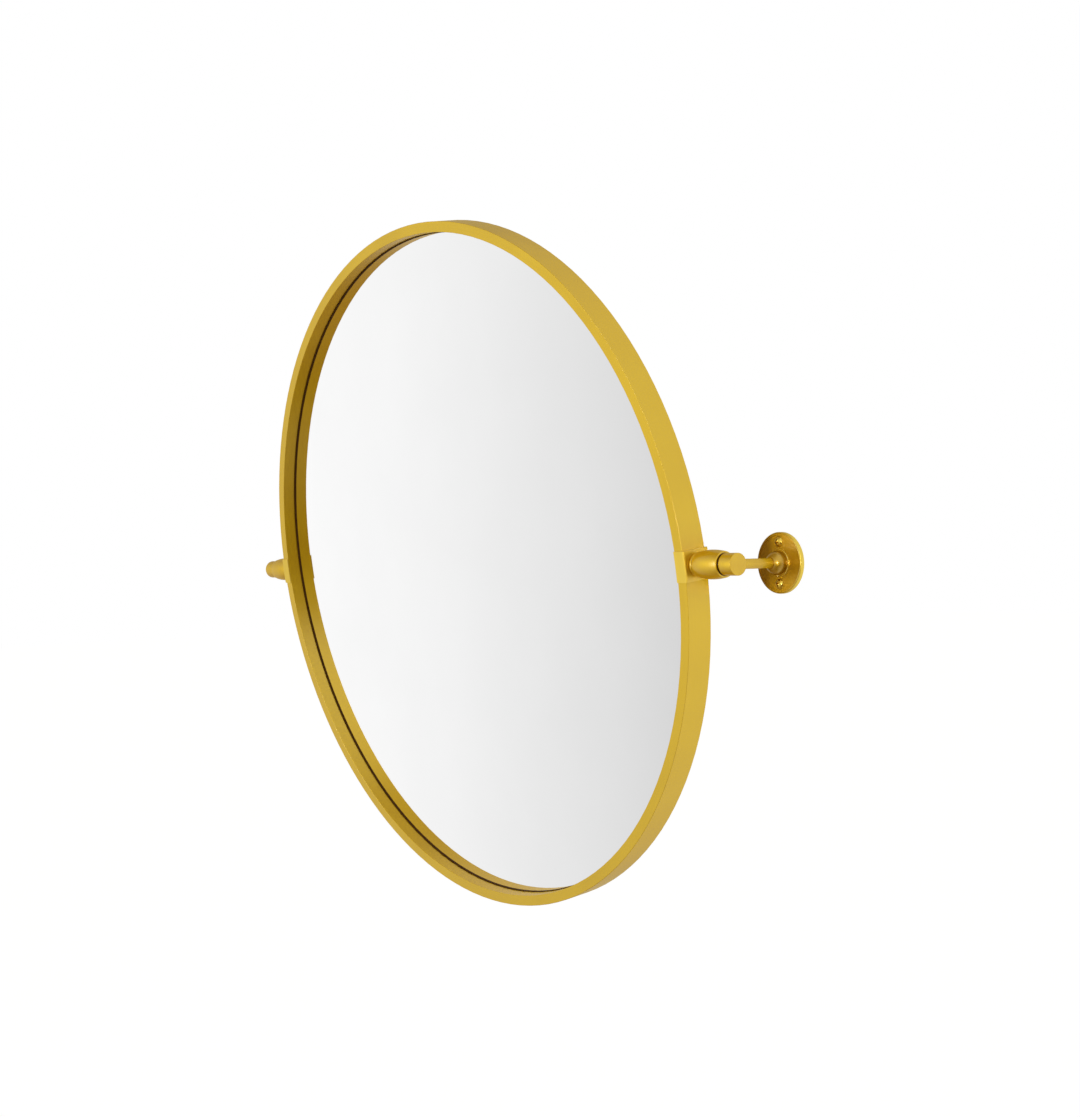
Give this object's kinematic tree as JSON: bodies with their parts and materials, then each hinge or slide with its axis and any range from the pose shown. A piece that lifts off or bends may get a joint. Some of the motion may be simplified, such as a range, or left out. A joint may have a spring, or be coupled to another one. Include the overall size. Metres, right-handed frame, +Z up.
{
  "type": "pivot wall mirror",
  "caption": "Round wall mirror in a deep metal frame that tilts on friction pivots between two turned wall brackets.",
  "frame": {"origin": "on the wall plane, midway between the two wall plates, at pivot height", "axes": "+X along the wall to the viewer's right, +Y into the wall, +Z up"},
  "size_m": [0.793, 0.1313, 0.6569],
  "materials": {
    "frame_gold": "satin",
    "turned_gold": "satin, turned",
    "plate_gold": "satin, turned",
    "screw_gold": "polished",
    "mirror": "polished",
    "board": "raw fibreboard",
    "foam": "matt foam",
    "seal": "satin",
    "steel": "satin",
    "bush": "sintered",
    "nylon": "matt"
  },
  "bodies": {
    "wall_mount": {"wall_plate_left": "plate_gold", "wall_plate_right": "plate_gold", "wall_screws_left": "screw_gold", "wall_screws_right": "screw_gold", "support_arm_left": "turned_gold", "support_arm_right": "turned_gold", "arm_grub_screw_left": "steel", "arm_grub_screw_right": "steel", "pivot_post_left": "turned_gold", "pivot_post_right": "turned_gold", "pivot_pin_left": "steel", "pivot_pin_right": "steel"},
    "tilting_mirror": {"frame_ring": "frame_gold", "mirror_glass": "mirror", "glass_seal": "seal", "foam_tape": "foam", "backing_board": "board", "support_tabs": "frame_gold", "board_screws": "steel", "frame_clip_left": "frame_gold", "frame_clip_right": "frame_gold", "clip_screws_left": "steel", "clip_screws_right": "steel", "clip_collar_left": "turned_gold", "clip_collar_right": "turned_gold", "pivot_barrel_left": "turned_gold", "pivot_barrel_right": "turned_gold", "pivot_bush_left": "bush", "pivot_bush_right": "bush", "friction_washer_left": "nylon", "friction_washer_right": "nylon"}
  },
  "joints": [
    {"name": "mirror_tilt", "type": "hinge", "parent": "wall_mount", "child": "tilting_mirror", "pos_m": [0, -0.05851, 0], "axis": [1, 0, 0], "range_deg": [-16, 0]}
  ]
}
